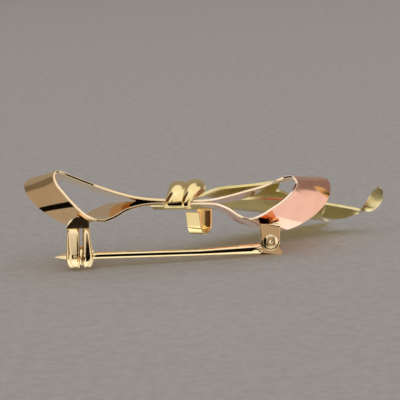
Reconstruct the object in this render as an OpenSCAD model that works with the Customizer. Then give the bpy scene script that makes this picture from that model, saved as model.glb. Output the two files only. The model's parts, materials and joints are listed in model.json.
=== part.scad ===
// Ribbon bow brooch of three colours of gold, with a pin, hinge and rollover catch on its back.
// It is shaped in the bow's own axes: X to the right, Y from the bow's near edge, where the pin is,
// to its far edge, and Z out of its front. It is then laid on its back, where it rests on the catch,
// the pin's heel and the far corner of its long tail.

/* [Ribbon] */
// Thickness of the gold sheet
sheet = 0.4; // [0.3:0.05:0.5]
// Width of the ribbon across a fold
ribbon_w = 10; // [8.6:0.1:11]

/* [Loops] */
// Reach of the left loop from the middle of the knot
left_reach = 24.8; // [22:0.1:30]
// Height of the left loop's fold
left_height = 8.4; // [7:0.1:9.4]
// Reach of the right loop from the middle of the knot
right_reach = 22; // [19:0.1:26]
// Height of the right loop's fold
right_height = 8.4; // [7:0.1:9.4]

/* [Tails] */
// Reach of the short tail from the middle of the knot
short_reach = 17; // [15:0.1:19]
// Depth that the short tail reaches past the bow's near edge
short_depth = 17.4; // [16.6:0.1:19]
// Rise of the short tail
short_rise = 3.6; // [3.3:0.1:4.4]
// Reach of the long tail from the middle of the knot
long_reach = 30.4; // [27:0.1:34]
// Depth that the long tail reaches past the bow's near edge
long_depth = 22.1; // [21.6:0.1:25]
// Drop of the long tail's far corner
long_drop = 3.3; // [2.8:0.1:4]

/* [Knot] */
// Width of the knot over its two lobes
knot_w = 6.2; // [5.6:0.1:6.8]
// Depth of the opening that the ribbons pass through
knot_bore_d = 5.1; // [4.9:0.1:5.6]
// Height of the knot's arch above the ribbons
knot_arch = 1.85; // [1.6:0.05:2.4]
// How far the left lobe puffs out at its top
lobe_puff = 1; // [0.6:0.05:1.2]
// Thickness of the knot's sheet
knot_sheet = 0.45; // [0.35:0.05:0.5]

/* [Back curl] */
// Width of the curled strip
curl_w = 2.4; // [1.6:0.1:2.6]
// Radius of the curl at the middle of its sheet
curl_r = 1.35; // [1:0.05:1.5]
// Depth of the curl below the middle of the ribbons
curl_drop = 4.85; // [4.4:0.05:5.4]
// Turn of the strip from the left and right line
curl_turn = 56; // [30:1:70]
// Lean of the curl's free limb away from its soldered one
curl_lean = 12; // [0:1:20]

/* [Pin] */
// Distance of the pin from the bow's near edge
pin_y = 2.4; // [2.2:0.05:2.8]
// Diameter of the pin wire
pin_d = 1.04; // [0.9:0.02:1.12]
// Distance of the catch from the middle of the knot
catch_x = 15.75; // [14.6:0.05:16.6]
// Depth of the pin below the ribbons at the catch
catch_drop = 8.05; // [7.6:0.05:8.8]
// Distance of the rivet from the middle of the knot
hinge_x = 12.5; // [11.6:0.05:13.4]
// Depth of the rivet below the ribbons
hinge_drop = 5.83; // [5.6:0.05:6.4]
// Length of the pin past the middle of the catch
point_past = 3.7; // [3.4:0.1:4.4]
// Length of the sharpened point
point_l = 1.9; // [1.2:0.1:2.4]
// Length of the pin's widening next to its heel
flare_l = 9; // [7:0.5:11]
// Height of the pin's flat heel
heel_h = 1.62; // [1.4:0.02:1.7]
// Thickness of the pin's flat heel
heel_t = 1.3; // [1.1:0.05:1.5]

/* [Catch] */
// Outer radius of the catch's cheeks
catch_r = 1.9; // [1.85:0.05:2.2]
// Width of the cheek towards the point
point_cheek_w = 2.05; // [1.8:0.05:2.2]
// Width of the cheek towards the hinge
hinge_cheek_w = 1.45; // [1.3:0.05:1.7]
// Width of the slot between the cheeks
slot_w = 0.5; // [0.45:0.05:0.7]
// Wall of the roller's sleeve
sleeve_wall = 0.45; // [0.4:0.05:0.5]
// Radius of the roller's rim in the slot
rim_r = 1.55; // [1.4:0.05:1.7]
// Reach of the roller's tab from the pin
tab_reach = 2.5; // [2.3:0.05:2.9]
// Height of the roller's tab
tab_h = 1; // [0.7:0.05:1.1]
// Turn of the tab below the line to the near side
tab_turn = 15; // [5:1:25]

/* [Hinge] */
// Width and outer diameter of the hinge's ears
ear_w = 2.7; // [2.5:0.05:3]
// Thickness of each ear
ear_t = 0.55; // [0.45:0.05:0.7]
// Diameter of the rivet
rivet_d = 1.1; // [1:0.05:1.2]
// Diameter of the rivet's head
rivet_head_d = 2.1; // [1.8:0.05:2.3]
// Width of the hinge's plate
plate_w = 3.1; // [2.8:0.1:3.8]
// Length of the hinge's plate from its near edge to its seat on the loop
plate_l = 4.6; // [4.3:0.1:5]
// Height of the plate's top above the rivet
plate_top = 2.56; // [2.3:0.02:2.7]
// Thickness of the hinge's plate
plate_t = 0.5; // [0.4:0.05:0.7]

/* [Fits] */
// Gap between the rivet and the pin's heel, all round
pin_play = 0.05; // [0.03:0.01:0.08]
// Gap between the roller's sleeve and the cheeks, all round
roller_play = 0.05; // [0.03:0.01:0.08]
// Gap round the pin in the roller's sleeve
pin_gap = 0.1; // [0.07:0.01:0.15]
// Gap beside pieces that turn between two walls
side_play = 0.06; // [0.04:0.01:0.1]
// Gap between pieces that are soldered together
seat_gap = 0.06; // [0.05:0.01:0.1]

/* [Hidden] */
$fn = 48;

// Colours of the metals
yellow_gold = "goldenrod";
rose_gold = "rosybrown";
green_gold = "darkkhaki";

// Steps of a swept ribbon between two rows of its table, and strips across it
row_steps = 4;
strips = 4;

// Columns of the ribbon tables: the near edge's reach, depth and height, then the far edge's
NEAR_X = 0;
NEAR_Y = 1;
NEAR_Z = 2;
FAR_X = 3;
FAR_Y = 4;
FAR_Z = 5;

// Loop tables, from the knot round the fold and back under. Each row is a section of the sheet's
// outer face: reach as a share of the loop's reach, depth as a share of the ribbon's width and
// height as a share of the fold's height, for the near edge and then for the far edge.
left_rows = [
    [0.006, 0.24, 0.052, 0.006, 0.68, 0.030],
    [0.140, 0.24, 0.056, 0.140, 0.68, 0.030],
    [0.297, 0.16, 0.100, 0.279, 0.78, 0.052],
    [0.451, 0.09, 0.221, 0.428, 0.88, 0.122],
    [0.588, 0.03, 0.366, 0.595, 0.95, 0.262],
    [0.689, 0.00, 0.483, 0.737, 0.99, 0.406],
    [0.749, 0.00, 0.551, 0.860, 1.00, 0.456],
    [0.781, 0.00, 0.531, 0.940, 1.00, 0.462],
    [0.789, 0.00, 0.425, 0.985, 1.00, 0.387],
    [0.770, 0.00, 0.288, 1.000, 1.00, 0.260],
    [0.736, 0.00, 0.161, 0.975, 1.00, 0.080],
    [0.689, 0.00, 0.000, 0.923, 1.00, -0.083],
    [0.629, 0.00, -0.176, 0.838, 1.00, -0.272],
    [0.575, 0.00, -0.290, 0.740, 1.00, -0.422],
    [0.497, 0.02, -0.354, 0.672, 0.98, -0.392],
    [0.426, 0.08, -0.292, 0.574, 0.92, -0.195],
    [0.343, 0.14, -0.152, 0.452, 0.85, -0.056],
    [0.243, 0.20, -0.075, 0.300, 0.76, -0.030],
    [0.140, 0.24, -0.056, 0.140, 0.68, -0.042],
    [0.006, 0.24, -0.056, 0.006, 0.68, -0.045]];
right_rows = [
    [0.010, 0.24, 0.048, 0.010, 0.68, 0.030],
    [0.134, 0.24, 0.048, 0.134, 0.68, 0.020],
    [0.262, 0.17, 0.112, 0.285, 0.77, 0.040],
    [0.395, 0.10, 0.206, 0.440, 0.86, 0.145],
    [0.508, 0.05, 0.294, 0.600, 0.94, 0.360],
    [0.609, 0.02, 0.405, 0.725, 0.99, 0.410],
    [0.672, 0.00, 0.460, 0.830, 1.00, 0.430],
    [0.718, 0.00, 0.450, 0.922, 1.00, 0.463],
    [0.744, 0.00, 0.358, 0.978, 1.00, 0.415],
    [0.737, 0.00, 0.262, 1.000, 1.00, 0.268],
    [0.702, 0.00, 0.122, 0.990, 1.00, 0.088],
    [0.638, 0.00, -0.030, 0.945, 1.00, -0.100],
    [0.568, 0.00, -0.152, 0.855, 1.00, -0.310],
    [0.500, 0.02, -0.260, 0.722, 1.00, -0.490],
    [0.421, 0.06, -0.324, 0.592, 0.97, -0.530],
    [0.348, 0.11, -0.258, 0.466, 0.90, -0.466],
    [0.281, 0.16, -0.142, 0.336, 0.82, -0.352],
    [0.207, 0.21, -0.066, 0.242, 0.74, -0.180],
    [0.134, 0.24, -0.054, 0.134, 0.68, -0.088],
    [0.010, 0.24, -0.054, 0.010, 0.68, -0.060]];

// Tail tables, from the knot outward along the back face, as shares of the tail's reach, depth and
// rise or drop. The last column is how far the middle of the section sags below its two edges.
SAG = 6;
short_rows = [
    [0.059, 0.275, 0.138, 0.059, 0.345, 0.125, 0.00],
    [0.135, 0.292, 0.230, 0.118, 0.376, 0.150, 0.00],
    [0.212, 0.325, 0.395, 0.176, 0.471, 0.215, 0.02],
    [0.312, 0.402, 0.530, 0.247, 0.655, 0.167, 0.04],
    [0.530, 0.534, 0.640, 0.470, 0.850, 0.125, 0.06],
    [0.676, 0.586, 0.720, 0.659, 0.948, 0.139, 0.02],
    [0.790, 0.603, 0.815, 0.825, 0.983, 0.144, 0.02]];
long_rows = [
    [-0.178, 0.371, -0.227, -0.165, 0.407, -0.348, 0.00],
    [-0.053, 0.371, -0.212, -0.040, 0.462, -0.379, 0.00],
    [0.066, 0.376, -0.091, 0.086, 0.561, -0.364, 0.03],
    [0.165, 0.403, 0.030, 0.165, 0.670, -0.373, 0.06],
    [0.253, 0.425, 0.091, 0.247, 0.733, -0.388, 0.08],
    [0.368, 0.466, 0.106, 0.330, 0.800, -0.470, 0.10],
    [0.497, 0.507, 0.050, 0.430, 0.860, -0.590, 0.15],
    [0.622, 0.529, -0.045, 0.560, 0.925, -0.740, 0.22],
    [0.700, 0.543, -0.127, 0.664, 0.964, -0.864, 0.27]];

// Each tail's end is cut to a V: the share across the last section where the cut's bottom lies, and
// a table for each arm beyond it. The near arm has the ribbon's near edge first and the cut's edge
// second, and the far arm has the cut's edge first.
short_cut = 0.5;
short_near_arm = [
    [0.850, 0.606, 0.889, 0.844, 0.618, 0.875]];
short_far_arm = [
    [0.912, 0.897, 0.320, 0.924, 0.989, 0.139],
    [0.997, 0.986, 0.155, 1.000, 0.997, 0.139]];
long_cut = 0.45;
long_near_arm = [
    [0.763, 0.557, -0.218, 0.766, 0.719, -0.824],
    [0.829, 0.570, -0.327, 0.842, 0.674, -0.682],
    [0.888, 0.584, -0.439, 0.891, 0.643, -0.455],
    [0.941, 0.588, -0.430, 0.905, 0.633, -0.227],
    [0.974, 0.590, -0.212, 0.920, 0.624, 0.030],
    [0.993, 0.593, 0.030, 0.934, 0.615, 0.333],
    [1.000, 0.595, 0.273, 0.951, 0.611, 0.530],
    [0.997, 0.597, 0.530, 0.970, 0.604, 0.682],
    [0.988, 0.597, 0.667, 0.982, 0.600, 0.727]];
long_far_arm = [
    [0.714, 0.873, -0.894, 0.704, 0.982, -0.909],
    [0.740, 0.987, -0.985, 0.743, 1.000, -1.000]];

// Knot: borders of its band as shares of its width, at its back and at the top of its arch
knot_left = [-0.516, -0.41];
knot_seam = [-0.10, 0.01];
knot_right = [0.12, 0.484];
knot_steps = 44;
lobe_steps = 6;
arch_power = 2.3;
lobe_power = 1.8;
back_power = 5;
back_depth = 0.62;
knot_level = -0.05;
knot_y = (left_rows[0][NEAR_Y] + left_rows[0][FAR_Y]) / 2 * ribbon_w;
// How full the lobes are at the near and the far side against the top, how high the seam between
// them stays, how much fuller the right lobe is, and where each lobe's peak lies
near_fill = 0.8;
far_fill = 0.15;
seam_share = 0.66;
right_fuller = 1.28;
lobe_peak = 0.55;
// How fast the lobes flatten below the ribbons' middle
fill_fade = 3;

// Back curl: its middle and the tops of its soldered and free limbs
curl_x = 2;
curl_at = [curl_x, knot_y, curl_r + sheet / 2 - curl_drop];
curl_soldered_top = -1.02;
curl_free_top = -1.55;
curl_steps = 16;

// Pin, heel and rivet
catch_at = [-catch_x, pin_y, -catch_drop];
rivet_at = [hinge_x, pin_y, -hinge_drop];
stem_r = pin_d / 2;
stem_rise = 1.8;
tip_r = 0.08;
heel_bottom = 1.92;
heel_left = 1.5;
heel_right = 1.8;
heel_round = 0.18;
heel_head_d = 2 * rivet_d;
bend_x = hinge_x - heel_left - flare_l;
bend = [bend_x, pin_y, (bend_x + catch_x) * tan(stem_rise) - catch_drop];
flare_rise = heel_h / 2 - hinge_drop - heel_bottom - bend[2];
flare_turn = atan2(flare_rise, flare_l);

// Catch and roller, along the pin's own line from the middle of the catch
slot_at = 0.3;
roller_bore_r = stem_r + pin_gap;
sleeve_r = roller_bore_r + sleeve_wall;
cheek_bore_r = sleeve_r + roller_play;
mouth_w = 2 * roller_bore_r;
cheek_outer_round = 1;
cheek_slot_round = 0.4;
round_step = 18;
slot_top = 4.1;
cheek_top_at = 3.2;
cheek_top_r = 1.3;
cheek_top_round = 0.4;
neck_w = 3.35;
neck_d = 2.1;
neck_at = -0.12;
neck_top = 7;
shoulder_at = 4.5;
shoulder_w = 1.5;
shoulder_h = 1.3;
// The shoulder bends at these shares of its width and height
shoulder_bend = [0.3, 0.6];
rim_t = slot_w - 2 * side_play;
sleeve_inset = 0.15;
point_cheek_at = slot_at - slot_w / 2 - point_cheek_w / 2;
hinge_cheek_at = slot_at + slot_w / 2 + hinge_cheek_w / 2;

// Hinge
ear_gap = heel_t + 2 * side_play;
ear_at = (ear_gap + ear_t) / 2;
stop_t = 0.35;
stop_bottom = 0.4;
seat_l = 1.5;
seat_h = 1.2;
head_t = 0.25;
head_step_r = 0.7;
head_step_h = 0.12;
dimple_r = 0.22;
clear_cut = 14;
rivet_seat = 0.02;

// Vector helpers
function unit(v) = v / norm(v);
function lerp(a, b, t) = a + (b - a) * t;

// A smooth curve through the rows a, b, c and d, at the share t of the way from b to c
function smooth_row(a, b, c, d, t) =
    0.5 * (2 * b + (c - a) * t + (2 * a - 5 * b + 4 * c - d) * t * t + (3 * b - a - 3 * c + d) * t * t * t);
function row_at(rows, place) =
    let (last = len(rows) - 1, i = min(floor(place), last - 1))
    smooth_row(rows[max(i - 1, 0)], rows[i], rows[i + 1], rows[min(i + 2, last)], place - i);

// Rows of shares made into millimetres
function sized(rows, reach, depth, height) =
    [for (r = rows) [r[NEAR_X] * reach, r[NEAR_Y] * depth, r[NEAR_Z] * height,
        r[FAR_X] * reach, r[FAR_Y] * depth, r[FAR_Z] * height, len(r) > SAG ? r[SAG] * height : 0]];
function section_point(row, v) =
    lerp([row[NEAR_X], row[NEAR_Y], row[NEAR_Z]], [row[FAR_X], row[FAR_Y], row[FAR_Z]], v)
    - [0, 0, row[SAG] * 4 * v * (1 - v)];
function sub_row(row, v0, v1) = concat(section_point(row, v0), section_point(row, v1), [0]);

// Points of a ribbon's face, one list for each step along its rows from the first one used
function face_grid(rows, first, cuts) =
    [for (i = [0:(len(rows) - 1 - first) * row_steps]) let (row = row_at(rows, first + i / row_steps))
        [for (v = cuts) section_point(row, v)]];
function even_cuts(n) = [for (k = [0:n]) k / n];

// The sheet's second face, at the given distance from its first
function offset_grid(grid, thick) =
    let (n = len(grid) - 1, m = len(grid[0]) - 1)
    [for (i = [0:n]) [for (j = [0:m])
        let (along = grid[min(i + 1, n)][j] - grid[max(i - 1, 0)][j],
            cross_way = grid[i][min(j + 1, m)] - grid[i][max(j - 1, 0)])
        grid[i][j] + thick * unit(cross(along, cross_way))]];
function flat_list(grid) = [for (line = grid) for (p = line) p];

// Closed sheet between two faces, which share their cells. A cell gives two triangles on either
// face, and each of its sides that no other cell shares gives two on the sheet's edge.
module sheet_solid(face, back, cells) {
    s = len(face);
    sides = [for (c = cells) for (k = [0:3]) [c[k], c[(k + 1) % 4]]];
    keys = [for (e = sides) e[0] * s + e[1]];
    rim = [for (e = sides) if (search(e[1] * s + e[0], keys, 1) == []) e];
    polyhedron(concat(face, back), concat(
        [for (c = cells) for (f = [[c[0], c[1], c[2]], [c[0], c[2], c[3]]]) f],
        [for (c = cells) for (f = [[c[0], c[2], c[1]], [c[0], c[3], c[2]]]) [f[0] + s, f[1] + s, f[2] + s]],
        [for (e = rim) for (f = [[e[1], e[0], e[0] + s], [e[1], e[0] + s, e[1] + s]]) f]));
}

// Cells of a block of points that starts at a given number
function block_cells(rows, columns, start) =
    [for (i = [0:1:rows - 2]) for (j = [0:1:columns - 2]) let (a = start + i * columns + j)
        [a, a + 1, a + columns + 1, a + columns]];
function turned(cells) = [for (c = cells) [c[3], c[2], c[1], c[0]]];

// Faces of the two loops
left_face = face_grid(sized(left_rows, -left_reach, ribbon_w, left_height), 0, even_cuts(strips));
left_inside = offset_grid(left_face, sheet);
right_face = face_grid(sized(right_rows, right_reach, ribbon_w, right_height), 0, even_cuts(strips));
right_inside = offset_grid(right_face, -sheet);
loop_cells = block_cells(len(left_face), strips + 1, 0);

// A tail is a block of points up to the bottom of its cut, and a block for each arm. The arms' first
// points are the block's last ones.
arm_strips = 4;
function tail_cuts(cut) = concat([for (k = [0:arm_strips]) cut * k / arm_strips],
    [for (k = [1:arm_strips]) lerp(cut, 1, k / arm_strips)]);
function arm_grid(rows, arm, v0, v1) =
    let (last = len(rows) - 1)
    face_grid(concat([sub_row(rows[last - 1], v0, v1), sub_row(rows[last], v0, v1)], arm), 1,
        even_cuts(arm_strips));
function tail_faces(rows, cut, near_arm, far_arm) =
    [face_grid(rows, 0, tail_cuts(cut)), arm_grid(rows, near_arm, 0, cut), arm_grid(rows, far_arm, cut, 1)];
function tail_points(faces) =
    concat(flat_list(faces[0]), [for (i = [1:len(faces[1]) - 1]) for (p = faces[1][i]) p],
        [for (i = [1:len(faces[2]) - 1]) for (p = faces[2][i]) p]);
function arm_cells(rows, start, root) =
    let (columns = arm_strips + 1)
    concat([for (j = [0:arm_strips - 1]) [root + j, root + j + 1, start + j + 1, start + j]],
        block_cells(rows, columns, start));
function tail_cells(faces) =
    let (columns = 2 * arm_strips + 1, rows = len(faces[0]), near = rows * columns,
        near_rows = len(faces[1]) - 1, far = near + near_rows * (arm_strips + 1))
    concat(block_cells(rows, columns, 0), arm_cells(near_rows, near, near - columns),
        arm_cells(len(faces[2]) - 1, far, near - columns + arm_strips));

short_size = [short_reach, short_depth, short_rise];
long_size = [long_reach, long_depth, long_drop];
function sized_by(rows, size) = sized(rows, size[0], size[1], size[2]);
short_faces = tail_faces(sized_by(short_rows, short_size), short_cut,
    sized_by(short_near_arm, short_size), sized_by(short_far_arm, short_size));
long_faces = tail_faces(sized_by(long_rows, long_size), long_cut,
    sized_by(long_near_arm, long_size), sized_by(long_far_arm, long_size));
function front_faces(faces) = [for (grid = faces) offset_grid(grid, sheet)];

module left_loop() {
    color(yellow_gold) sheet_solid(flat_list(left_face), flat_list(left_inside), turned(loop_cells));
}

module right_loop() {
    color(rose_gold) sheet_solid(flat_list(right_face), flat_list(right_inside), loop_cells);
}

module short_tail() {
    color(green_gold) sheet_solid(tail_points(short_faces), tail_points(front_faces(short_faces)),
        turned(tail_cells(short_faces)));
}

module long_tail() {
    color(green_gold) sheet_solid(tail_points(long_faces), tail_points(front_faces(long_faces)),
        turned(tail_cells(long_faces)));
}

// Knot: a band with two puffed lobes, carried round the ribbons
function rounded(value, power) = sign(value) * pow(abs(value), 2 / power);
function bulge(t) = t < lobe_peak ? sqrt(1 - pow(1 - t / lobe_peak, 2))
    : 1 - (1 - seam_share) * pow((t - lobe_peak) / (1 - lobe_peak), 2);
function fill_at(turn) =
    let (side = cos(turn) > 0 ? near_fill : far_fill, s = sin(turn))
    s > 0 ? lerp(side, 1, s) : side * max(0, 1 + fill_fade * s);
function knot_point(turn, share, grow) =
    let (c = cos(turn), s = sin(turn), front = s >= 0,
        power = front ? (grow == 0 ? arch_power : lobe_power) : back_power,
        up = max(0, rounded(s, power)), left = share < 0.5,
        edge = (left ? lerp(knot_left[0], knot_left[1], up) : lerp(knot_right[0], knot_right[1], up)) * knot_w,
        seam = lerp(knot_seam[0], knot_seam[1], up) * knot_w,
        t = left ? share * 2 : 2 - share * 2,
        puff = grow == 0 ? 0 : lobe_puff * (left ? 1 : right_fuller) * bulge(t) * fill_at(turn))
    [lerp(edge, seam, t), knot_y - rounded(c, power) * (knot_bore_d / 2 + grow + puff),
        knot_level + rounded(s, power) * ((front ? knot_arch : back_depth) + grow + puff)];

module knot() {
    shares = [for (k = [0:2 * lobe_steps])
        let (whole = floor(k / lobe_steps)) (whole + 0.5 - 0.5 * cos(180 * (k / lobe_steps - whole))) / 2];
    last = len(shares) - 1;
    ring = [for (i = [0:knot_steps - 1]) let (turn = 360 * i / knot_steps)
        concat([for (q = shares) knot_point(turn, q, knot_sheet)],
            [for (k = [last:-1:0]) knot_point(turn, shares[k], 0)])];
    total = 2 * (last + 1);
    faces = [for (i = [0:knot_steps - 1]) for (j = [0:total - 1])
        let (next = (i + 1) % knot_steps, k = (j + 1) % total,
            a = i * total + j, b = i * total + k, c = next * total + k, d = next * total + j)
        for (f = [[a, c, b], [a, d, c]]) f];
    color(yellow_gold) polyhedron(flat_list(ring), faces);
}

// The curl's strip comes down from the right loop, turns round and comes up again
function curl_line(r) =
    let (rise = curl_free_top - curl_at[2] + r * sin(curl_lean))
    concat([[r, curl_soldered_top - curl_at[2]]],
        [for (i = [0:curl_steps]) let (a = (curl_lean - 180) * i / curl_steps) r * [cos(a), sin(a)]],
        [[-r * cos(curl_lean) - rise * tan(curl_lean), curl_free_top - curl_at[2]]]);

module back_curl() {
    inner = curl_line(curl_r - sheet / 2);
    color(yellow_gold) translate(curl_at) rotate([0, 0, curl_turn]) rotate([90, 0, 0])
        linear_extrude(curl_w, center = true)
            polygon(concat(curl_line(curl_r + sheet / 2), [for (i = [len(inner) - 1:-1:0]) inner[i]]));
}

// A place on a loop's outer face: its point, and axes whose last one points out of the loop
function face_place(grid, row, v, outward) =
    let (i = round(row * row_steps), k = min(floor(v * strips), strips - 1), t = v * strips - k,
        p = lerp(grid[i][k], grid[i][k + 1], t), along = grid[i + 1][k] - grid[i - 1][k],
        n = outward * unit(cross(along, grid[i][k + 1] - grid[i][k])), a = unit(cross([0, 1, 0], n)))
    [p, a, cross(n, a), n];
module on_place(place) {
    p = place[0];
    a = place[1];
    b = place[2];
    n = place[3];
    multmatrix([[a[0], b[0], n[0], p[0]], [a[1], b[1], n[1], p[1]], [a[2], b[2], n[2], p[2]]]) children();
}
// Everything on the loop's side of the seat at a place
module above_seat(place) {
    on_place(place) translate([-clear_cut / 2, -clear_cut / 2, seat_gap - clear_cut])
        cube([clear_cut, clear_cut, clear_cut]);
}

// Places where the catch and the hinge are soldered: rows of the loops' tables, and shares across
catch_row = 13;
catch_across = 0.33;
hinge_row = 13.25;
hinge_across = 0.5;
catch_place = face_place(left_face, catch_row, catch_across, -1);
hinge_place = face_place(right_face, hinge_row, hinge_across, 1);

// Turned disc along X with rounded rims, and one cheek of the catch under its neck
module round_disc(r, w, left_round, right_round) {
    rotate([0, 90, 0]) rotate_extrude($fn = 36) polygon(concat([[0, -w / 2]],
        [for (a = [-90:round_step:0]) [r, left_round - w / 2] + left_round * [cos(a) - 1, sin(a)]],
        [for (a = [0:round_step:90]) [r, w / 2 - right_round] + right_round * [cos(a) - 1, sin(a)]],
        [[0, w / 2]]));
}
module cheek(middle, w, left_round, right_round) {
    left = max(middle - w / 2, neck_at - neck_w / 2);
    right = min(middle + w / 2, neck_at + neck_w / 2);
    hull() {
        translate([middle, 0, 0]) round_disc(catch_r, w, left_round, right_round);
        translate([(left + right) / 2, 0, cheek_top_at])
            round_disc(cheek_top_r, right - left, cheek_top_round, cheek_top_round);
    }
}

// The neck above the slot, with a sloped shoulder towards the point
module neck_outline() {
    left = neck_at - neck_w / 2;
    polygon([[left, slot_top], [left + neck_w, slot_top], [left + neck_w, neck_top],
        [left + shoulder_w, neck_top], [left + shoulder_w, shoulder_at + shoulder_h],
        [left, shoulder_at] + [shoulder_w * shoulder_bend[0], shoulder_h * shoulder_bend[1]],
        [left, shoulder_at]]);
}

module along_pin() {
    translate(catch_at) rotate([0, -stem_rise, 0]) children();
}
// What is open for the pin: a bore along it and a mouth below
module pin_way(r) {
    rotate([0, 90, 0]) cylinder(h = clear_cut, r = r, center = true);
    translate([-clear_cut / 2, -mouth_w / 2, -clear_cut]) cube([clear_cut, mouth_w, clear_cut]);
}

module catch_housing() {
    color(yellow_gold) difference() {
        along_pin() difference() {
            union() {
                cheek(point_cheek_at, point_cheek_w, cheek_outer_round, cheek_slot_round);
                cheek(hinge_cheek_at, hinge_cheek_w, cheek_slot_round, cheek_outer_round);
                rotate([90, 0, 0]) linear_extrude(neck_d, center = true) neck_outline();
            }
            pin_way(cheek_bore_r);
        }
        above_seat(catch_place);
    }
}

module catch_roller() {
    long = point_cheek_w + hinge_cheek_w + slot_w - 2 * sleeve_inset;
    middle = slot_at + (hinge_cheek_w - point_cheek_w) / 2;
    color(yellow_gold) along_pin() difference() {
        union() {
            translate([middle, 0, 0]) rotate([0, 90, 0]) cylinder(h = long, r = sleeve_r, center = true);
            translate([slot_at, 0, 0]) rotate([0, 90, 0]) cylinder(h = rim_t, r = rim_r, center = true);
            translate([slot_at, 0, 0]) rotate([tab_turn, 0, 0]) translate([-rim_t / 2, -tab_reach, -tab_h / 2])
                cube([rim_t, tab_reach, tab_h]);
        }
        pin_way(roller_bore_r);
    }
}

module ear(y) {
    translate([0, y, 0]) rotate([90, 0, 0]) linear_extrude(ear_t, center = true) {
        circle(d = ear_w);
        translate([-ear_w / 2, 0]) square([ear_w, plate_top]);
    }
}

module hinge_bracket() {
    color(rose_gold) difference() {
        union() {
            translate(rivet_at) {
                ear(-ear_at);
                ear(ear_at);
                translate([-plate_w / 2, -ear_at - ear_t / 2, stop_bottom])
                    cube([stop_t, ear_gap + 2 * ear_t, plate_top - stop_bottom]);
                translate([-plate_w / 2, -ear_at - ear_t / 2, plate_top - plate_t])
                    cube([plate_w, plate_l, plate_t]);
                translate([-plate_w / 2, plate_l - seat_l - ear_at - ear_t / 2, plate_top - plate_t])
                    cube([plate_w, seat_l, plate_t + seat_h]);
            }
        }
        above_seat(hinge_place);
        translate(rivet_at) rotate([90, 0, 0])
            cylinder(h = clear_cut, r = rivet_d / 2 + rivet_seat, center = true);
    }
}

// The rivet fills the ears and has a stepped head with a dimple at the near side
module rivet() {
    back = -ear_gap / 2 - ear_t;
    head = side_play - back;
    step = head + head_t;
    top = step + head_step_h;
    color(yellow_gold) translate(rivet_at) rotate([90, 0, 0]) rotate_extrude()
        polygon([[0, back], [rivet_d / 2, back], [rivet_d / 2, head], [rivet_head_d / 2, head],
            [rivet_head_d / 2, step], [head_step_r, step], [head_step_r, top], [dimple_r, top], [0, step]]);
}

module pin_stem() {
    straight = (bend[0] + catch_x) / cos(stem_rise) + point_past - point_l;
    color(yellow_gold) {
        translate(rivet_at) rotate([90, 0, 0]) difference() {
            linear_extrude(heel_t, center = true) hull() {
                circle(d = heel_head_d);
                translate([-heel_left, -heel_bottom]) square([heel_round, heel_h]);
                translate([heel_right - heel_round, heel_round - heel_bottom]) circle(r = heel_round);
            }
            cylinder(h = clear_cut, r = rivet_d / 2 + pin_play, center = true);
        }
        translate(bend) {
            sphere(r = stem_r);
            rotate([0, 90 - flare_turn, 0])
                cylinder(h = flare_l / cos(flare_turn) + heel_round, r1 = stem_r, r2 = heel_h / 2);
            rotate([0, -90 - stem_rise, 0]) {
                cylinder(h = straight, r = stem_r);
                translate([0, 0, straight]) cylinder(h = point_l, r1 = stem_r, r2 = tip_r);
            }
        }
    }
}

// Rest: the plane under the catch's lip, the corner of the pin's heel and the long tail's far corner
function along_pin_point(p) = catch_at + [p[0] * cos(stem_rise) - p[2] * sin(stem_rise), p[1],
    p[0] * sin(stem_rise) + p[2] * cos(stem_rise)];
lip = along_pin_point([hinge_cheek_at + hinge_cheek_w / 2 - cheek_outer_round, mouth_w / 2,
    -sqrt(pow(catch_r, 2) - pow(mouth_w / 2, 2))]);
heel = rivet_at + [heel_right - heel_round, heel_t / 2, -heel_bottom];
far_rows = long_faces[2];
corner = far_rows[len(far_rows) - 1][arm_strips];
up_axis = unit(cross(heel - lip, corner - lip));
right_axis = unit([1, 0, 0] - up_axis[0] * up_axis);
back_axis = cross(up_axis, right_axis);

// The lowest point of the laid part is at 0, and the middle of its box is over the origin
tab_point = along_pin_point([slot_at, -tab_reach * cos(tab_turn), -tab_reach * sin(tab_turn)]);
extents = concat([tab_point, along_pin_point([-point_past, 0, 0])], flat_list(left_face),
    flat_list(right_face), tail_points(long_faces));
function middle_of(list) = (min(list) + max(list)) / 2;
middle_x = middle_of([for (p = extents) p * right_axis]);
middle_y = middle_of([for (p = extents) p * back_axis]);
module laid() {
    multmatrix([concat(right_axis, -middle_x), concat(back_axis, -middle_y), concat(up_axis, -lip * up_axis)])
        children();
}

laid() left_loop();
laid() right_loop();
laid() knot();
laid() short_tail();
laid() long_tail();
laid() back_curl();
laid() catch_housing();
laid() catch_roller();
laid() hinge_bracket();
laid() rivet();
laid() pin_stem();
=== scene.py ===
import bpy
import json
import numpy as np
from mathutils import Matrix, Vector

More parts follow.
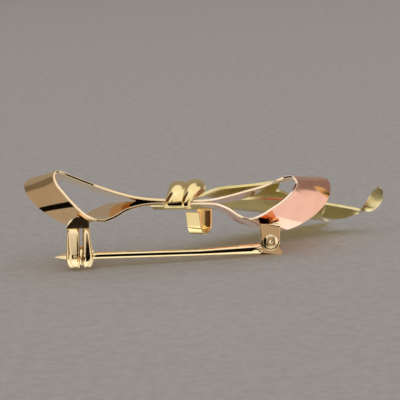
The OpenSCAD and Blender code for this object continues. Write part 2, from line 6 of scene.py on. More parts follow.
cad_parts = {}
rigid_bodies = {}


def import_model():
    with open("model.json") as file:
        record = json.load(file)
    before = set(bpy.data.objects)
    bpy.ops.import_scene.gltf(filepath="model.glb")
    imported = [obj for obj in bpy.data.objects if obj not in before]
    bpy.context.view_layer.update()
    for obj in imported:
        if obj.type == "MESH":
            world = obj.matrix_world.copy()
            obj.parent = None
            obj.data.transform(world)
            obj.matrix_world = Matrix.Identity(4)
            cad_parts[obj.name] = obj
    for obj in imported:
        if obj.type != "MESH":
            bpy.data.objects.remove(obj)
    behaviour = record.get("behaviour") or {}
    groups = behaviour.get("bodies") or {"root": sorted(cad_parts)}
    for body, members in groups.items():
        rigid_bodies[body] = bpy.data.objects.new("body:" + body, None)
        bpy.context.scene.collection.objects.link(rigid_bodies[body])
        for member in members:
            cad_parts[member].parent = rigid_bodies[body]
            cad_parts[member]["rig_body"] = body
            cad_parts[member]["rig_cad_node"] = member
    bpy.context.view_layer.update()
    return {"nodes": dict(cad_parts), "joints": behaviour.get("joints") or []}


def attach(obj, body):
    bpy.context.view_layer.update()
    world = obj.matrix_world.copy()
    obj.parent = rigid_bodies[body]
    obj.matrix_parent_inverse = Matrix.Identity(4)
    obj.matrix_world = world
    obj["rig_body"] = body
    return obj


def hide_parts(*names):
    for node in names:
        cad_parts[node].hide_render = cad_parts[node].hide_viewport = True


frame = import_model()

print("frame loaded")

# The bow's own axes, in mm: x to the right, y away from the pin's edge, z out of the front.
# The rivet, the catch and the swing's axis are known in these axes and in the frame's.
bow = dict(rivetAt=(12.5, 2.4, -5.83), catchAt=(-15.75, 2.4, -8.05), swingAxis=(0, -1, 0),
           ribbonWidth=10, sheet=0.4)
perMetre = 1000
joints = {j["name"]: j for j in frame["joints"]}


def axesFrom(along, side):
    # columns: along, the part of side square to it, and their cross product
    a = np.array(along, float)
    a = a / np.linalg.norm(a)
    s = np.array(side, float)
    s = s - (s @ a) * a
    s = s / np.linalg.norm(s)
    return np.stack([a, s, np.cross(a, s)], 1)


rivetAt = np.array(joints["pin_swing"]["pos_m"])
catchAt = np.array(joints["roller_turn"]["pos_m"])
turn = (axesFrom(rivetAt - catchAt, joints["pin_swing"]["axis"])
        @ axesFrom(np.subtract(bow["rivetAt"], bow["catchAt"]), bow["swingAxis"]).T)
shift = (rivetAt + catchAt) / 2 - turn @ np.add(bow["rivetAt"], bow["catchAt"]) / (2 * perMetre)


def laid(points):
    # from the bow's axes in mm to the frame's in metres
    return np.asarray(points, float) @ turn.T / perMetre + shift


# Camera: level in the bow's axes, which lean once the bow lies on its pin side
lens = dict(at=(2.06, -260, 0.29), focal=159.2, sensor=36, nearest=0.01, farthest=20)
camera = bpy.data.objects.new("camera", bpy.data.cameras.new("camera"))
bpy.context.scene.collection.objects.link(camera)
camera.data.lens = lens["focal"]
camera.data.sensor_width = lens["sensor"]
camera.data.clip_start, camera.data.clip_end = lens["nearest"], lens["farthest"]
look = turn @ np.array([[1, 0, 0], [0, 0, -1], [0, 1, 0]])
camera.matrix_world = (Matrix.Translation(Vector(laid(lens["at"])))
                       @ Matrix(look.tolist()).to_4x4())
bpy.context.scene.camera = camera
print("camera set")


# Shader maths: a socket with the usual operators
class Field:
    def __init__(self, tree, socket):
        self.tree, self.socket = tree, socket

    def math(self, operation, *others):
        return self.tree.node("ShaderNodeMath", dict(operation=operation),
                              {i: v for i, v in enumerate((self,) + others)})

    def __add__(self, other): return self.math("ADD", other)
    def __mul__(self, other): return self.math("MULTIPLY", other)
    def __sub__(self, other): return self.math("SUBTRACT", other)
    def __rsub__(self, other): return self.tree.value(other).math("SUBTRACT", self)
    __radd__ = __add__
    __rmul__ = __mul__

    def clamp(self, low=0.0, high=1.0):
        return self.math("MAXIMUM", low).math("MINIMUM", high)

    def ramp(self, low, high):
        # 0 below low, 1 above high, smooth between
        return self.tree.node("ShaderNodeMapRange", dict(interpolation_type="SMOOTHSTEP"),
                              {"Value": self, "From Min": low, "From Max": high})


class Tree:
    def __init__(self, name):
        self.material = bpy.data.materials.new(name)
        self.material.use_nodes = True
        self.nodes, self.links = self.material.node_tree.nodes, self.material.node_tree.links
        self.shader = self.nodes["Principled BSDF"]

    def node(self, kind, settings=None, inputs=None, output=0):
        made = self.nodes.new(kind)
        for key, setting in (settings or {}).items():
            setattr(made, key, setting)
        self.feed(made, inputs or {})
        return Field(self, made.outputs[output])

    def feed(self, made, inputs):
        for key, given in inputs.items():
            socket = made.inputs[key]
            if isinstance(given, Field):
                self.links.new(given.socket, socket)
            elif socket.type == "RGBA" and len(given) == 3:
                socket.default_value = (*given, 1)
            else:
                socket.default_value = given

    def value(self, number):
        return self.node("ShaderNodeMath", dict(operation="ADD"), {0: number, 1: 0.0})

    def place(self, scale=(1, 1, 1)):
        # the frame's axes, in mm
        spot = self.node("ShaderNodeTexCoord", output=3)
        return self.node("ShaderNodeMapping", {},
                         {"Vector": spot, "Scale": tuple(perMetre * s for s in scale)})

    def noise(self, place, scale, detail=3.0, roughness=0.5):
        return self.node("ShaderNodeTexNoise", {},
                         {"Vector": place, "Scale": scale, "Detail": detail,
                          "Roughness": roughness})

    def mix(self, share, low, high, blend="MIX"):
        return self.node("ShaderNodeMix", dict(data_type="RGBA", blend_type=blend),
                         {0: share, 6: low, 7: high}, output=2)

    def surface(self, **inputs):
        self.feed(self.shader, {key.replace("_", " "): given for key, given in inputs.items()})
        return self.material


# Gold alloys: colour and the deeper colour that it wanders to, roughness, how deep the fine marks
# are, how far the convex corners go to a paler colour, and how far the ribbons' cut edges go to a
# painted highlight
golds = dict(
    yellowGold=dict(color=(0.92, 0.66, 0.36), deep=(0.84, 0.55, 0.27),
                    rough=0.05, marks=0.03, cornerPaling=0.3, cut=0.5),
    roseGold=dict(color=(0.93, 0.53, 0.40), deep=(0.86, 0.45, 0.33),
                  rough=0.06, marks=0.03, cornerPaling=0.3, cut=0.85),
    greenGold=dict(color=(0.74, 0.62, 0.25), deep=(0.58, 0.46, 0.15),
                   rough=0.26, marks=0.04, cornerPaling=0.3, cut=0.15),
    knotGold=dict(color=(0.93, 0.78, 0.42), deep=(0.82, 0.62, 0.28),
                  rough=0.10, marks=0.04, cornerPaling=0.1, cut=0),
    findingGold=dict(color=(0.94, 0.78, 0.50), deep=(0.84, 0.62, 0.37),
                     rough=0.05, marks=0.03, cornerPaling=0.1, cut=0))
# What all of them share: noises as scale, detail and roughness, and ramps as low and high
metal = dict(cloud=(0.35, 3.0, 0.5), cloudRamp=(0.35, 0.65),
             haze=(1.7, 5.0, 0.6), hazeRamp=(0.45, 0.75),
             hairStretch=(0.6, 9, 9), hairs=(1.2, 4.0, 0.7),
             crossStretch=(7, 1.2, 2), crossHairs=(1.0, 3.0, 0.7),
             # convex corners: pointiness ramp and the paler colour they go to
             cornerRamp=(0.55, 0.60), cornerColor=(1.0, 0.93, 0.80),
             # painted highlight on the ribbons' cut edges: how square they face the bow's y, and
             # its cream colour
             edgeHighlightRamp=(0.72, 0.92), edgeHighlightColor=(1.0, 0.90, 0.72),
             polishRange=(0.03, 0.6), leastBump=0.10, bumpDepth=0.00001)


def goldMaterial(name, color, deep, rough, marks, cornerPaling, cut):
    tree = Tree(name)
    place = tree.place()
    cloud = tree.noise(place, *metal["cloud"]).ramp(*metal["cloudRamp"])
    haze = tree.noise(place, *metal["haze"]).ramp(*metal["hazeRamp"])
    # hairlines run along the ribbon, and the polish leaves them only faintly
    hairs = tree.noise(tree.place(metal["hairStretch"]), *metal["hairs"])
    crossHairs = tree.noise(tree.place(metal["crossStretch"]), *metal["crossHairs"])
    grain = hairs * 0.6 + crossHairs * 0.4
    # convex corners, where pointiness is high, go to a paler colour
    cornerShare = tree.node("ShaderNodeNewGeometry", output=7).ramp(*metal["cornerRamp"])
    tint = tree.mix(cloud * 0.5, color, deep)
    tint = tree.mix(cornerShare * cornerPaling, tint, metal["cornerColor"])
    # painted highlight: the ribbons' cut edges, which face along the bow's y, are painted a paler
    # cream
    normal = tree.node("ShaderNodeNewGeometry", output=1)
    facing = tree.node("ShaderNodeVectorMath", dict(operation="DOT_PRODUCT"),
                       {0: normal, 1: tuple(turn[:, 1])}, output=1)
    tint = tree.mix(facing.math("ABSOLUTE").ramp(*metal["edgeHighlightRamp"]) * cut, tint, metal["edgeHighlightColor"])
    polish = (haze * marks + grain * marks + rough - marks / 2).clamp(*metal["polishRange"])
    bump = tree.node("ShaderNodeBump", {}, {"Strength": metal["leastBump"] + marks,
                                            "Distance": metal["bumpDepth"], "Height": grain})
    return tree.surface(Base_Color=tint, Metallic=1.0, Roughness=polish, Normal=bump)


materials = {name: goldMaterial(name, **finish) for name, finish in golds.items()}
print("materials made")


# Curves through table rows: a cubic through b and c whose slopes follow their neighbours
def smoothRows(rows, places):
    rows = np.asarray(rows, float)
    last = len(rows) - 1
    i = np.minimum(np.floor(places).astype(int), last - 1)
    t = (places - i)[:, None]
    a, b, c, d = rows[np.maximum(i - 1, 0)], rows[i], rows[i + 1], rows[np.minimum(i + 2, last)]
    return 0.5 * (2 * b + (c - a) * t + (2 * a - 5 * b + 4 * c - d) * t ** 2
                  + (3 * b - a - 3 * c + d) * t ** 3)


def ribbonGrid(rows, size, across, first=0, steps=8):
    # points = straight line from the near edge to the far edge, less sag * 4 v (1 - v) in z
    rows = np.asarray(rows, float)
    table = np.zeros((len(rows), 7))
    table[:, :rows.shape[1]] = rows
    table = table * np.array([*size, *size, size[2]])
    count = (len(rows) - 1 - first) * steps
    line = smoothRows(table, first + np.arange(count + 1) / steps)
    v = np.asarray(across, float)[None, :, None]
    grid = line[:, None, 0:3] * (1 - v) + line[:, None, 3:6] * v
    grid[:, :, 2] -= line[:, 6:7] * (4 * v * (1 - v))[:, :, 0]
    return grid


def gridFaces(rows, columns, start=0, closed=False):
    i, j = np.meshgrid(np.arange(rows - 1), np.arange(columns if closed else columns - 1),
                       indexing="ij")
    a, b = start + i * columns + j, start + i * columns + (j + 1) % columns
    return np.stack([a, b, b + columns, a + columns], -1).reshape(-1, 4)


# Rounded edges: bevel widths in mm, steps and least angle in radians. The findings have their own
# widths and are welded first, within a distance in metres.
edges = dict(ribbon=0.11, knot=0.05, steps=3, angle=0.9,
             findingSteps=2, findingAngle=0.7, weld=0.000002)


def addBevel(piece, width, steps, angle):
    bevel = piece.modifiers.new("edge", "BEVEL")
    bevel.width, bevel.segments = width / perMetre, steps
    bevel.limit_method, bevel.angle_limit = "ANGLE", angle
    return bevel


def meshPiece(name, points, faces, body, material, nodes, wall=0, edge=0):
    mesh = bpy.data.meshes.new(name)
    mesh.from_pydata(laid(points).tolist(), [], faces.tolist())
    mesh.polygons.foreach_set("use_smooth", np.ones(len(mesh.polygons), bool))
    mesh.update()
    piece = bpy.data.objects.new(name, mesh)
    bpy.context.scene.collection.objects.link(piece)
    if wall:
        solidify = piece.modifiers.new("wall", "SOLIDIFY")
        solidify.thickness, solidify.offset, solidify.use_even_offset = wall / perMetre, -1, True
    if edge:
        addBevel(piece, edge, edges["steps"], edges["angle"]).harden_normals = True
    mesh.materials.append(materials[material])
    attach(piece, body)
    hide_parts(*nodes)
    return piece


# Even cuts across a ribbon, with one more close to each edge, so that the shading stays flat
across = np.concatenate([[0, 0.02], np.linspace(0.06, 0.94, 23), [0.98, 1]])

# Loops: each row is a section of the sheet's outer face, from the knot round the fold and back.
# Reach, depth and height of the near edge, then of the far edge, as shares of the loop's own.
leftLoop = dict(reach=24.8, height=8.4, rows=[
    [0.006, 0.24, 0.052, 0.006, 0.68, 0.030], [0.140, 0.24, 0.056, 0.140, 0.68, 0.030],
    [0.297, 0.16, 0.100, 0.279, 0.78, 0.052], [0.451, 0.09, 0.221, 0.428, 0.88, 0.122],
    [0.588, 0.03, 0.366, 0.595, 0.95, 0.262], [0.689, 0.00, 0.483, 0.737, 0.99, 0.406],
    [0.749, 0.00, 0.551, 0.860, 1.00, 0.456], [0.781, 0.00, 0.531, 0.940, 1.00, 0.462],
    [0.789, 0.00, 0.425, 0.985, 1.00, 0.387], [0.770, 0.00, 0.288, 1.000, 1.00, 0.260],
    [0.736, 0.00, 0.161, 0.975, 1.00, 0.080], [0.689, 0.00, 0.000, 0.923, 1.00, -0.083],
    [0.629, 0.00, -0.176, 0.838, 1.00, -0.272], [0.575, 0.00, -0.290, 0.740, 1.00, -0.422],
    [0.497, 0.02, -0.354, 0.672, 0.98, -0.392], [0.426, 0.08, -0.292, 0.574, 0.92, -0.195],
    [0.343, 0.14, -0.152, 0.452, 0.85, -0.056], [0.243, 0.20, -0.075, 0.300, 0.76, -0.030],
    [0.140, 0.24, -0.056, 0.140, 0.68, -0.042], [0.006, 0.24, -0.056, 0.006, 0.68, -0.045]])
rightLoop = dict(reach=22, height=8.4, rows=[
    [0.010, 0.24, 0.048, 0.010, 0.68, 0.030], [0.134, 0.24, 0.048, 0.134, 0.68, 0.020],
    [0.262, 0.17, 0.112, 0.285, 0.77, 0.040], [0.395, 0.10, 0.206, 0.440, 0.86, 0.145],
    [0.508, 0.05, 0.294, 0.600, 0.94, 0.360], [0.609, 0.02, 0.405, 0.725, 0.99, 0.410],
    [0.672, 0.00, 0.460, 0.830, 1.00, 0.430], [0.718, 0.00, 0.450, 0.922, 1.00, 0.463],
    [0.744, 0.00, 0.358, 0.978, 1.00, 0.415], [0.737, 0.00, 0.262, 1.000, 1.00, 0.268],
    [0.702, 0.00, 0.122, 0.990, 1.00, 0.088], [0.638, 0.00, -0.030, 0.945, 1.00, -0.100],
    [0.568, 0.00, -0.152, 0.855, 1.00, -0.310], [0.500, 0.02, -0.260, 0.722, 1.00, -0.490],
    [0.421, 0.06, -0.324, 0.592, 0.97, -0.530], [0.348, 0.11, -0.258, 0.466, 0.90, -0.466],
    [0.281, 0.16, -0.142, 0.336, 0.82, -0.352], [0.207, 0.21, -0.066, 0.242, 0.74, -0.180],
    [0.134, 0.24, -0.054, 0.134, 0.68, -0.088], [0.010, 0.24, -0.054, 0.010, 0.68, -0.060]])


def loopPiece(name, loop, way, material, node):
    size = (way * loop["reach"], bow["ribbonWidth"], loop["height"])
    grid = ribbonGrid(loop["rows"], size, across)
    if way < 0:
        grid = grid[:, ::-1]
    points = grid.reshape(-1, 3)
    faces = gridFaces(*grid.shape[:2])[:, ::-1]
    return meshPiece(name, points, faces, "brooch", material, [node],
                     bow["sheet"], edges["ribbon"])


loopPiece("left_ribbon_loop", leftLoop, -1, "yellowGold", "left_loop")
loopPiece("right_ribbon_loop", rightLoop, 1, "roseGold", "right_loop")
print("loops made")

# Tails: sections of the back face as shares of reach, depth and rise or drop, with the section's
# sag last. An arm's rows go on beyond the bottom of the V cut.
shortTail = dict(size=(17, 17.4, 3.6), cut=0.5, rows=[
    [0.059, 0.275, 0.138, 0.059, 0.345, 0.125, 0.00],
    [0.135, 0.292, 0.230, 0.118, 0.376, 0.150, 0.00],
    [0.212, 0.325, 0.395, 0.176, 0.471, 0.215, 0.02],
    [0.312, 0.402, 0.530, 0.247, 0.655, 0.167, 0.04],
    [0.530, 0.534, 0.640, 0.470, 0.850, 0.125, 0.06],
    [0.676, 0.586, 0.720, 0.659, 0.948, 0.139, 0.02],
    [0.790, 0.603, 0.815, 0.825, 0.983, 0.144, 0.02]],
    nearArm=[[0.850, 0.606, 0.889, 0.844, 0.618, 0.875]],
    farArm=[[0.912, 0.897, 0.320, 0.924, 0.989, 0.139], [0.997, 0.986, 0.155, 1.000, 0.997, 0.139]])
longTail = dict(size=(30.4, 22.1, 3.3), cut=0.45, rows=[
    [-0.178, 0.371, -0.227, -0.165, 0.407, -0.348, 0.00],
    [-0.053, 0.371, -0.212, -0.040, 0.462, -0.379, 0.00],
    [0.066, 0.376, -0.091, 0.086, 0.561, -0.364, 0.03],
    [0.165, 0.403, 0.030, 0.165, 0.670, -0.373, 0.06],
    [0.253, 0.425, 0.091, 0.247, 0.733, -0.388, 0.08],
    [0.368, 0.466, 0.106, 0.330, 0.800, -0.470, 0.10],
    [0.497, 0.507, 0.050, 0.430, 0.860, -0.590, 0.15],
    [0.622, 0.529, -0.045, 0.560, 0.925, -0.740, 0.22],
    [0.700, 0.543, -0.127, 0.664, 0.964, -0.864, 0.27]],
    nearArm=[[0.763, 0.557, -0.218, 0.766, 0.719, -0.824],
             [0.829, 0.570, -0.327, 0.842, 0.674, -0.682],
             [0.888, 0.584, -0.439, 0.891, 0.643, -0.455],
             [0.941, 0.588, -0.430, 0.905, 0.633, -0.227],
             [0.974, 0.590, -0.212, 0.920, 0.624, 0.030],
             [0.993, 0.593, 0.030, 0.934, 0.615, 0.333],
             [1.000, 0.595, 0.273, 0.951, 0.611, 0.530],
             [0.997, 0.597, 0.530, 0.970, 0.604, 0.682],
             [0.988, 0.597, 0.667, 0.982, 0.600, 0.727]],
    farArm=[[0.714, 0.873, -0.894, 0.704, 0.982, -0.909],
            [0.740, 0.987, -0.985, 0.743, 1.000, -1.000]])


def cutRow(row, start, end):
    # the part of a section between two shares across it
    near, far = np.array(row[0:3]), np.array(row[3:6])
    sag = lambda v: np.array([0, 0, row[6] * 4 * v * (1 - v)])
    return [*(near + (far - near) * start - sag(start)), *(near + (far - near) * end - sag(end)), 0]


def tailPiece(name, tail, node):
    half = 12
    cut, rows, size = tail["cut"], tail["rows"], tail["size"]
    v = np.concatenate([np.linspace(0, cut, half + 1), np.linspace(cut, 1, half + 1)[1:]])
    body = ribbonGrid(rows, size, v)
    points, faces = [body.reshape(-1, 3)], [gridFaces(*body.shape[:2])]
    root = (body.shape[0] - 1) * body.shape[1]
    arms = ((tail["nearArm"], (0, cut), 0), (tail["farArm"], (cut, 1), half))
    for arm, (start, end), first in arms:
        table = [cutRow(rows[-2], start, end), cutRow(rows[-1], start, end)]
        table += [[*row, 0] for row in arm]
        grid = ribbonGrid(table, size, np.linspace(0, 1, half + 1), first=1)[1:]
        begin = sum(len(p) for p in points)
        joined = np.concatenate([np.arange(root + first, root + first + half + 1),
                                 begin + np.arange(grid.size // 3)])
        points.append(grid.reshape(-1, 3))
        faces.append(joined[gridFaces(grid.shape[0] + 1, half + 1)])
    return meshPiece(name, np.concatenate(points), np.concatenate(faces), "brooch", "greenGold",
                     [node], bow["sheet"], edges["ribbon"])


tailPiece("short_ribbon_tail", shortTail, "short_tail")
tailPiece("long_ribbon_tail", longTail, "long_tail")
print("tails made")

# Knot: borders of its band as shares of its width, at its back and at the top of its arch
knot = dict(width=6.2, bore=5.1, arch=1.85, puff=1.0, sheet=0.45, level=-0.05, backDepth=0.62,
            left=(-0.516, -0.41), seam=(-0.10, 0.01), right=(0.12, 0.484),
            archPower=2.3, lobePower=1.8, backPower=5, nearFill=0.8, farFill=0.15,
            seamShare=0.66, rightFuller=1.28, lobePeak=0.55, fade=3, ringSteps=144, lobeSteps=14)
knotY = (0.24 + 0.68) / 2 * bow["ribbonWidth"]


def knotPoints(angle, share, grow):
    # a rounded ring, |cos|^(2/p) and |sin|^(2/p), pushed out by each lobe's bulge: a quarter circle
    # up to the lobe's peak and a parabola from there down to the seam
    k = knot
    c, s = np.cos(angle), np.sin(angle)
    front = s >= 0
    power = np.where(front, np.where(grow > 0, k["lobePower"], k["archPower"]), k["backPower"])
    rounded = lambda q: np.sign(q) * np.abs(q) ** (2 / power)
    up = np.maximum(0, rounded(s))
    left = share < 0.5
    border = np.where(left, k["left"][0] + (k["left"][1] - k["left"][0]) * up,
                      k["right"][0] + (k["right"][1] - k["right"][0]) * up) * k["width"]
    seam = (k["seam"][0] + (k["seam"][1] - k["seam"][0]) * up) * k["width"]
    t = np.where(left, share * 2, 2 - share * 2)
    peak = k["lobePeak"]
    bulge = np.where(t < peak, np.sqrt(np.maximum(0, 1 - (1 - t / peak) ** 2)),
                     1 - (1 - k["seamShare"]) * ((t - peak) / (1 - peak)) ** 2)
    side = np.where(c > 0, k["nearFill"], k["farFill"])
    fill = np.where(s > 0, side + (1 - side) * s, side * np.maximum(0, 1 + k["fade"] * s))
    puff = np.where(grow > 0, k["puff"] * np.where(left, 1, k["rightFuller"]) * bulge * fill, 0)
    rise = np.where(front, k["arch"], k["backDepth"])
    return np.stack([border + (seam - border) * t,
                     knotY - rounded(c) * (k["bore"] / 2 + grow + puff),
                     k["level"] + rounded(s) * (rise + grow + puff)], -1)


def knotPiece():
    ease = (1 - np.cos(np.pi * np.linspace(0, 1, knot["lobeSteps"] + 1))) / 2
    shares = np.concatenate([ease / 2, 0.5 + ease[1:] / 2])
    angles = 2 * np.pi * np.arange(knot["ringSteps"]) / knot["ringSteps"]
    ring = np.concatenate([shares, shares[::-1]])
    grow = np.concatenate([np.full(len(shares), knot["sheet"]), np.zeros(len(shares))])
    points = knotPoints(angles[:, None] + 0 * ring, ring[None, :] + 0 * angles[:, None],
                        grow[None, :] + 0 * angles[:, None])
    rows, columns = points.shape[:2]
    faces = gridFaces(rows + 1, columns, closed=True) % (rows * columns)
    return meshPiece("wrapped_knot", points.reshape(-1, 3), faces[:, ::-1], "brooch", "knotGold",
                     ["knot"], edge=edges["knot"])


knotPiece()

# Curl under the knot: down from the right loop, round and up again
curl = dict(width=2.4, radius=1.35, drop=4.85, turn=56, lean=12, x=2,
            solderedTop=-1.02, freeTop=-1.55, bendSteps=48, endSteps=7)


def curlPiece():
    r, sheet = curl["radius"] + bow["sheet"] / 2, bow["sheet"]
    middle = np.array([curl["x"], knotY, r - curl["drop"]])
    # straight down, round by half a turn less the lean, then straight up along that lean
    lean = np.radians(curl["lean"])
    angle = (lean - np.pi) * np.linspace(0, 1, curl["bendSteps"] + 1)
    ends = curl["endSteps"] + 1
    down = np.linspace(curl["solderedTop"] - middle[2], 0, ends)[:-1]
    up = np.linspace(0, curl["freeTop"] - middle[2] + r * np.sin(lean), ends)[1:]
    x = np.concatenate([r + 0 * down, r * np.cos(angle), -r * np.cos(lean) - up * np.tan(lean)])
    z = np.concatenate([down, r * np.sin(angle), up - r * np.sin(lean)])
    y = (across - 0.5) * curl["width"]
    grid = np.stack([x[:, None] + 0 * y, y[None, :] + 0 * x[:, None], z[:, None] + 0 * y], -1)
    a = np.radians(curl["turn"])
    spin = np.array([[np.cos(a), -np.sin(a), 0], [np.sin(a), np.cos(a), 0], [0, 0, 1]])
    points = grid.reshape(-1, 3) @ spin.T + middle
    faces = gridFaces(*grid.shape[:2])[:, ::-1]
    return meshPiece("back_curl_strip", points, faces, "brooch", "knotGold",
                     ["back_curl"], sheet, edges["ribbon"])


curlPiece()
print("knot and curl made")

# Findings: the CAD solids with their edges softened
softened = dict(catch_housing=("catch_cheeks", "brooch", 0.05),
                catch_roller=("catch_sleeve", "roller", 0.04),
                hinge_bracket=("hinge_ears", "brooch", 0.05), rivet=("hinge_rivet", "brooch", 0.03),
                pin_stem=("pin_wire", "pin", 0.03))
for node, (name, body, edge) in softened.items():
    piece = frame["nodes"][node].copy()
    piece.data = frame["nodes"][node].data.copy()
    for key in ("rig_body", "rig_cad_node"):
        del piece[key]
    piece.name = piece.data.name = name
    piece.parent = None
    bpy.context.scene.collection.objects.link(piece)
    weld = piece.modifiers.new("weld", "WELD")
    weld.merge_threshold = edges["weld"]
    addBevel(piece, edge, edges["findingSteps"], edges["findingAngle"])
    flat = piece.modifiers.new("flat", "WEIGHTED_NORMAL")
    flat.keep_sharp = False
    piece.data.materials.clear()
    piece.data.materials.append(materials["findingGold"])
    piece.data.polygons.foreach_set("use_smooth", np.ones(len(piece.data.polygons), bool))
    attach(piece, body)
    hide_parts(node)
print("findings made")

# Studio: a grey sweep under one soft box. Round the bow stands a tent that only the metal mirrors.
# The sweep's fleck is scale, detail and roughness.
studio = dict(floor=(0.535, 0.505, 0.485), fleck=(0.55, 5.0, 0.75), fleckRamp=(0.35, 0.65),
              fleckShare=0.87, floorFront=-2.5, floorDepth=1.2, sweepRadius=0.35, sweepSteps=16,
              wallTop=2.5, width=4.0,
              tentRadius=0.5, tentRows=24, tentColumns=48,
              tentTop=(1.05, 1.02, 0.98), tentBottom=(0.95, 0.90, 0.80), tentBlend=30,
              boxAt=(0.0, 0.22, 0.9), boxSize=(1.6, 1.4), boxPower=2.3,
              air=(1.0, 0.98, 0.95), airStrength=0.45)

# Parts of the tent: azimuth from the back, elevation, half widths and softness in degrees, then for
# a leaning part how much it rises per degree, and colour
tentParts = dict(
    backdrop=(0, 8, 62, 42, 14, (0.34, 0.31, 0.27)),
    underBack=(-5, -57, 35, 26, 6, (0.20, 0.17, 0.13)),
    underTail=(6, -45, 16, 9, 5, (0.40, 0.36, 0.27)),
    leftWarm=(-48, -27, 14, 10, 5, (0.42, 0.36, 0.30)),
    leftShade=(-55, -9, 16, 6, 4, (0.19, 0.165, 0.13)),
    leftLow=(-28, -36, 9, 5, 2, (0.40, 0.35, 0.29)),
    rightGlow=(50, -26, 18, 24.5, 1, (0.95, 0.88, 0.82)),
    rightShade=(57, 17, 14, 33, 2, (0.29, 0.25, 0.21)),
    rightSlant=(58, 2, 3.5, 26, 1, 2.33, (0.29, 0.25, 0.21)),
    rightFlash=(22, -48, 9, 6, 1, (1.35, 1.32, 1.22)),
    curlGlow=(-98, -42, 20, 24, 6, (1.35, 1.32, 1.22)),
    curlShade=(-106, 6, 14, 12, 8, (0.55, 0.42, 0.28)),
    curlInside=(-104, 44, 26, 24, 6, (0.10, 0.05, 0.03)))
# And parts round its front, whose first number is the distance from the front
frontParts = dict(
    frontLow=(0, -62, 30, 32, 10, (1.20, 1.22, 1.12)),
    frontHigh=(0, 80, 40, 14, 8, (1.15, 1.17, 1.08)),
    frontShade=(0, 10, 14, 16, 10, (0.42, 0.37, 0.29)),
    darkRoom=(0, 10, 20, 13, 5, (0.02, 0.014, 0.01)))

# Small cards near the bow that only the metal mirrors: middle, length and width in mm in the bow's
# axes, and colour. Two are for the pin, one each for the hinge, the catch, the knot and the curl,
# and one for the dark bar on the left loop.
cards = dict(
    pin_dark_card=((-2, -5, -8.4), (24, 0, 1.9), (0, 0, 11.5), (0.004, 0.003, 0.002)),
    pin_shade_card=((-2, -5.8, -8.6), (24, 0, 1.9), (0, 0, 16), (0.22, 0.17, 0.12)),
    hinge_card=((13.3, -20, -6), (5.5, 0, 0), (0, 0, 9), (0.48, 0.36, 0.27)),
    catch_card=((-17.1, -20, -8), (5.5, 0, 0), (0, 0, 7), (0.62, 0.55, 0.42)),
    knot_card=((0.5, -20, 0), (15, 0, 0), (0, 0, 18), (0.95, 0.88, 0.72)),
    curl_card=((1.5, 3.85, -2.6), (-1.99, 1.34, 0), (0, 0, 2.6), (0.10, 0.05, 0.03)),
    left_bar_card=((-34.7, 26.6, -14.8), (3.1, -14.6, 1.25), (2.3, 0.45, -0.6),
                   (0.004, 0.003, 0.002)))


def stagePiece(name, points, faces, material):
    mesh = bpy.data.meshes.new(name)
    mesh.from_pydata(np.asarray(points, float).tolist(), [], faces)
    mesh.polygons.foreach_set("use_smooth", np.ones(len(mesh.polygons), bool))
    mesh.materials.append(material)
    piece = bpy.data.objects.new(name, mesh)
    bpy.context.scene.collection.objects.link(piece)
    return piece


def glowPiece(name, points, faces, tree, glow):
    # shines by itself, and only the metal sees it
    material = tree.surface(Base_Color=(0, 0, 0), Roughness=1.0, Emission_Color=glow,
                            Emission_Strength=1.0, Specular_IOR_Level=0)
    piece = stagePiece(name, points, faces, material)
    for ray in ("camera", "diffuse", "shadow", "transmission"):
        setattr(piece, "visible_" + ray, False)
    return piece


def sweepPiece():
    # flat floor, a quarter circle, then a wall
    bend = np.radians(np.linspace(0, 90, studio["sweepSteps"] + 1))
    r, depth = studio["sweepRadius"], studio["floorDepth"]
    y = np.concatenate([[studio["floorFront"]], depth + r * np.sin(bend), [depth + r]])
    z = np.concatenate([[0], r - r * np.cos(bend), [studio["wallTop"]]])
    x = np.array([-studio["width"] / 2, studio["width"] / 2])
    grid = np.stack([x[None, :] + 0 * y[:, None], y[:, None] + 0 * x, z[:, None] + 0 * x], -1)
    tree = Tree("paper")
    fleck = tree.noise(tree.place(), *studio["fleck"]).ramp(*studio["fleckRamp"])
    low = tuple(studio["fleckShare"] * c for c in studio["floor"])
    material = tree.surface(Base_Color=tree.mix(fleck, low, studio["floor"]), Roughness=0.9)
    piece = stagePiece("sweep", grid.reshape(-1, 3), gridFaces(len(y), 2).tolist(), material)
    piece.visible_glossy = False
    return piece


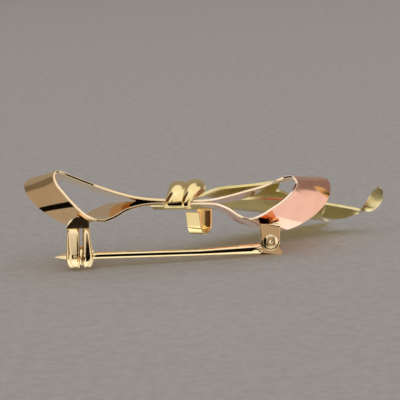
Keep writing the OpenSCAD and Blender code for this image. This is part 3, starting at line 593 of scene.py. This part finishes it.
def tentPiece():
    # sphere, coloured by the direction from its middle
    rows, columns = studio["tentRows"] + 1, studio["tentColumns"]
    lat = np.radians(np.linspace(-90, 90, rows))[:, None]
    lon = np.radians(np.linspace(0, 360, columns, endpoint=False))[None, :]
    grid = studio["tentRadius"] * np.stack([np.cos(lat) * np.cos(lon), np.cos(lat) * np.sin(lon),
                                            np.sin(lat) + 0 * lon], -1)
    tree = Tree("tent")
    spot = tree.node("ShaderNodeTexCoord", output=3)
    direction = tree.node("ShaderNodeVectorMath", dict(operation="NORMALIZE"), {0: spot})
    x, y, z = [tree.node("ShaderNodeSeparateXYZ", {}, {0: direction}, output=i) for i in range(3)]
    perRadian = 57.2958
    azimuth = x.math("ARCTAN2", y) * perRadian
    elevation = z.math("ARCSINE") * perRadian
    glow = tree.mix(elevation.ramp(-studio["tentBlend"], studio["tentBlend"]),
                    studio["tentBottom"], studio["tentTop"])

    def inside(value, middle, half, soft):
        return (value - middle).math("ABSOLUTE").ramp(half + soft, half)

    for az, el, halfAz, halfEl, soft, *lean, color in tentParts.values():
        height = elevation - (azimuth - az) * lean[0] if lean else elevation
        share = inside(azimuth, az, halfAz, soft) * inside(height, el, halfEl, soft)
        glow = tree.mix(share, glow, color)
    fromFront = 180 - azimuth.math("ABSOLUTE")
    for az, el, halfAz, halfEl, soft, color in frontParts.values():
        share = inside(fromFront, az, halfAz, soft) * inside(elevation, el, halfEl, soft)
        glow = tree.mix(share, glow, color)
    faces = gridFaces(rows, columns, closed=True)
    return glowPiece("tent", grid.reshape(-1, 3), faces.tolist(), tree, glow)


def softBox(name, at, size, facing, power):
    data = bpy.data.lights.new(name, "AREA")
    data.shape, data.size, data.size_y = "RECTANGLE", *size
    data.energy = power
    lamp = bpy.data.objects.new(name, data)
    normal = (Vector(facing) - Vector(at)).normalized()
    lamp.matrix_world = (Matrix.Translation(Vector(at))
                         @ normal.to_track_quat("-Z", "Y").to_matrix().to_4x4())
    lamp.visible_glossy = False
    bpy.context.scene.collection.objects.link(lamp)
    return lamp


def cardPiece(name, at, length, width, color):
    along, over, middle = np.array(length) / 2, np.array(width) / 2, np.array(at)
    corners = [middle + a * along + b * over for a, b in ((-1, -1), (1, -1), (1, 1), (-1, 1))]
    return glowPiece(name, laid(corners), [[0, 1, 2, 3]], Tree(name), color)


sweepPiece()
tentPiece()
for name, card in cards.items():
    cardPiece(name, *card)
softBox("top_box", studio["boxAt"], studio["boxSize"], (0, 0, 0), studio["boxPower"])
world = bpy.data.worlds.new("studio")
world.use_nodes = True
background = world.node_tree.nodes["Background"].inputs
background["Color"].default_value = (*studio["air"], 1)
background["Strength"].default_value = studio["airStrength"]
world.cycles_visibility.glossy = False
bpy.context.scene.world = world
bpy.context.scene.view_settings.view_transform = "Standard"
print("studio made")
